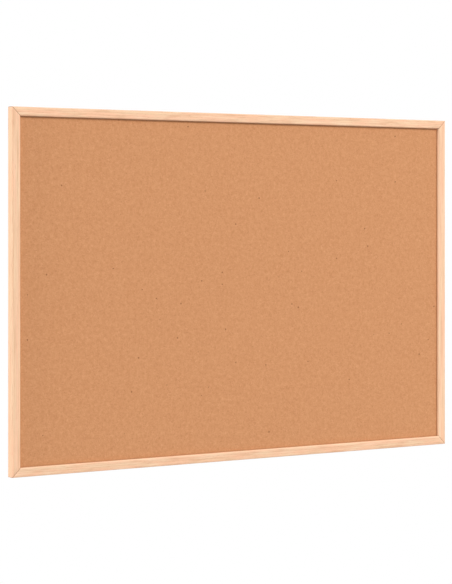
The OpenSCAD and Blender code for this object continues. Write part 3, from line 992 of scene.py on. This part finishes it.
def cork_solid():
    """The cork: its face dips from the level that the lip bears on, by long squashed waves and by short
    waves cut off at a limit."""
    across, up = panel_grid(cork_low, cork_high, CORK_CELLS)
    sway = squashed(ripple(across, up, CORK_SWAY_WAVES, seed=5))
    pits = ripple(across, up, CORK_PIT_WAVES, seed=6, waves=40) / CORK_PIT_LIMIT
    dip = CORK_SWAY * sway + CORK_PIT * (1 + np.clip(pits, -1, 1))
    return slab(np.stack([across, cork_low.y + dip, up], axis=-1), cork_high.y)


def paper_solid():
    """The liner: its back face dips in cockles from the level that the points bear on, by squashed waves."""
    across, up = panel_grid(paper_low, paper_high, PAPER_CELLS)
    cockle = squashed(ripple(across, up, PAPER_WAVES, seed=9))
    return slab(np.stack([across, paper_high.y - PAPER_COCKLE * cockle, up], axis=-1), paper_low.y)


def pad_solid(node):
    """A felt disc turned from its profile, with a rounded outer edge, and drawn in by squashed waves."""
    low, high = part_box(node)
    middle = (low + high) / 2
    radius = (high.z - low.z) / 2
    tall = high.y - low.y
    profile = np.concatenate([
        run((radius, 0), (radius, tall - PAD_EDGE_R), 8),
        arc((radius - PAD_EDGE_R, tall - PAD_EDGE_R), PAD_EDGE_R, 0, 90, 7),
        run((radius - PAD_EDGE_R, tall), (PAD_MIDDLE_R, tall), 6)[1:],
    ])
    rows = turned(profile, segments=72)
    uneven = ripple(rows[..., 0] + rows[..., 1], rows[..., 2], PAD_WAVES, seed=12)
    rows[..., :2] *= 1 - PAD_DRAW_SHARE * squashed(uneven)[..., None]
    return tube(np.stack([middle.x + rows[..., 0], low.y + rows[..., 2], middle.z + rows[..., 1]], axis=-1))


# The board's own pieces

PIVOTS = {joint["child"]: joint["pos_m"] for joint in frame["joints"]}
corners = [(right, up) for right in HANDS.values() for up in LEVELS.values()]
nail_slots = [slot for corner in corners for slot in v_nail_slots(*corner)]

for node, side in MEMBERS.items():
    edge = node.split("_")[0]
    pockets = nail_slots + panel_points(side, DRIVE_CLEAR)
    if is_upright(side):
        pockets.append(rod(PIVOTS[edge + "_ring"], shank_profile(PILOT_CLEAR, OVER + THROUGH_STRAP)))
    make_piece(node + "_oak", [member_solid(side)], OAK[node], node, pockets)
    points = edge + "_panel_points"
    make_piece(points + "_steel", panel_points(side), BRIGHT_STEEL, points)

for level, up in LEVELS.items():
    for hand, right in HANDS.items():
        node = f"{level}_{hand}_v_nails"
        make_piece(node + "_steel", v_nails(right, up), BRIGHT_STEEL, node)

make_piece("cork_face", [cork_solid()], CORK, "cork_sheet")
make_piece("kraft_backing", [paper_solid()], KRAFT, "backing_paper")

core = frame["nodes"]["softboard_core"]
core.data.materials.clear()
core.data.materials.append(SOFTBOARD)

for hand in HANDS:
    ring = hand + "_hanger_ring"
    strap = hand + "_hanger_strap"
    screw = hand + "_hanger_screw"
    pad = hand + "_wall_pad"
    pivot = PIVOTS[hand + "_ring"]
    hole = rod(pivot, np.array([(STRAP_HOLE_R, -THROUGH_STRAP), (STRAP_HOLE_R, OVER)]))
    recess = recess_solid(pivot)
    make_piece(ring + "_wire", [ring_solid(pivot)], ZINC, ring, body=hand + "_ring")
    make_piece(strap + "_plate", [strap_solid(pivot)], ZINC, strap, [hole])
    make_piece(screw + "_plated", [screw_solid(pivot)], ZINC, screw, [recess])
    make_piece(pad + "_felt", [pad_solid(pad)], FELT, pad)


# Camera: its turn in degrees to the right, its lens and sensor in millimetres, its shift in sensor widths

CAMERA_PLACE = (-1.9571, -2.9399, -0.0786)
CAMERA_TURN = 33.315
CAMERA_LENS = 124.87
CAMERA_SENSOR = 36.0
CAMERA_SHIFT = -0.12857
CAMERA_REACH = 100


def make_camera():
    """A camera that stands level, so that uprights stay upright, and is shifted down to the board."""
    view = bpy.data.cameras.new("camera")
    view.sensor_width = CAMERA_SENSOR
    view.lens = CAMERA_LENS
    view.shift_y = CAMERA_SHIFT
    view.clip_end = CAMERA_REACH
    camera = new_object("camera", view)
    camera.location = CAMERA_PLACE
    camera.rotation_euler = (math.radians(90), 0, math.radians(-CAMERA_TURN))
    bpy.context.scene.camera = camera


# Light: a white room, brighter above than below, and three soft lamps: a wide key in front, above and to
# the right, a small one beside the board's left edge, and one behind it on the right

def soft_lamp(name, bearing, rise, distance, size, watts):
    """A lamp of a size, wide and tall, at a bearing from the front, to the right, and a rise above the
    level, in degrees, turned to the board's middle."""
    aim = Vector((0, (FRONT_Y + BACK_Y) / 2, MID_Z))
    turn = math.radians(bearing)
    lift = math.radians(rise)
    away = Vector((math.sin(turn) * math.cos(lift), -math.cos(turn) * math.cos(lift), math.sin(lift)))
    light = bpy.data.lights.new(name, "AREA")
    light.shape = "RECTANGLE"
    light.size, light.size_y = size
    light.energy = watts
    lamp = new_object(name, light)
    lamp.location = aim + distance * away
    lamp.rotation_euler = (-away).to_track_quat("-Z", "Y").to_euler()
    lamp.visible_camera = False


def seen_rays(tree):
    """One where a ray comes straight from the camera, from a gloss or through a clear piece, and zero
    otherwise."""
    rays = add(tree, "ShaderNodeLightPath").outputs
    seen = maths(tree, "MAXIMUM", rays["Is Camera Ray"], rays["Is Glossy Ray"])
    return maths(tree, "MAXIMUM", seen, rays["Is Transmission Ray"])


def make_room(level, tilt):
    """A white surround that shows as white and lights the board at the given level, from above by the share
    tilt more than that and from below by as much less."""
    world = bpy.data.worlds.new("white_room")
    world.use_nodes = True
    tree = world.node_tree
    tree.nodes["Background"].inputs["Color"].default_value = (1, 1, 1, 1)
    heading = tree.nodes.new("ShaderNodeTexCoord").outputs["Generated"]
    rise = add(tree, "ShaderNodeSeparateXYZ", {0: heading}).outputs["Z"]
    lit = straight_range(tree, rise, -1.0, 1.0, level * (1 - tilt), level * (1 + tilt))
    strength = straight_range(tree, seen_rays(tree), 0.0, 1.0, lit, 1.0)
    tree.links.new(strength, tree.nodes["Background"].inputs["Strength"])
    bpy.context.scene.world = world


# Floor: its drop below the board, the radii of its fade to white, and its tone as seen and as thrown back

FLOOR_DROP = 0.95
FLOOR_R = 2.4
FADE_START_R = 1.3
FADE_END_R = 0.97 * FLOOR_R
FLOOR_SEEN = 0.86
FLOOR_THROWN = 0.6


def make_floor():
    """A pale round floor below the hung board, which takes its shadow and fades to white at the rim. It
    throws back less light than it shows. From below it is clear, so that it never hides the board."""
    material, tree, shader, place = new_material("pale_floor")
    tree.nodes.remove(shader)
    plan = vectors(tree, "MULTIPLY", place, (1, 1, 0))
    from_middle = add(tree, "ShaderNodeVectorMath", {0: plan}, operation="LENGTH").outputs["Value"]
    seen = seen_rays(tree)
    rim = maths(tree, "MULTIPLY", ease_range(tree, from_middle, FADE_START_R, FADE_END_R), seen)
    tone = straight_range(tree, seen, 0.0, 1.0, FLOOR_THROWN, FLOOR_SEEN)
    pale = add(tree, "ShaderNodeBsdfDiffuse", {"Color": tone}).outputs[0]
    white = add(tree, "ShaderNodeEmission", {"Color": (1, 1, 1, 1), "Strength": 1.0}).outputs[0]
    from_above = add(tree, "ShaderNodeMixShader", {0: rim, 1: pale, 2: white}).outputs[0]
    clear = tree.nodes.new("ShaderNodeBsdfTransparent").outputs[0]
    underside = tree.nodes.new("ShaderNodeNewGeometry").outputs["Backfacing"]
    shader = add(tree, "ShaderNodeMixShader", {0: underside, 1: from_above, 2: clear}).outputs[0]
    tree.links.new(shader, tree.nodes["Material Output"].inputs["Surface"])
    disc = turned(np.array([(FLOOR_R, cad_low.z - FLOOR_DROP)]), segments=128)[0]
    floor = new_object("floor", bpy.data.meshes.new("floor"))
    floor.data.from_pydata(disc.tolist(), [], [list(range(len(disc)))])
    floor.data.materials.append(material)


make_camera()
make_room(level=0.405, tilt=0.3)
soft_lamp("key", bearing=36, rise=36, distance=8.4, size=(5.4, 2.6), watts=600)
soft_lamp("side", bearing=-87, rise=8, distance=4.0, size=(0.5, 0.5), watts=84)
soft_lamp("back", bearing=158, rise=8, distance=6.0, size=(2.0, 2.0), watts=165)
make_floor()
bpy.context.scene.view_settings.view_transform = "Standard"
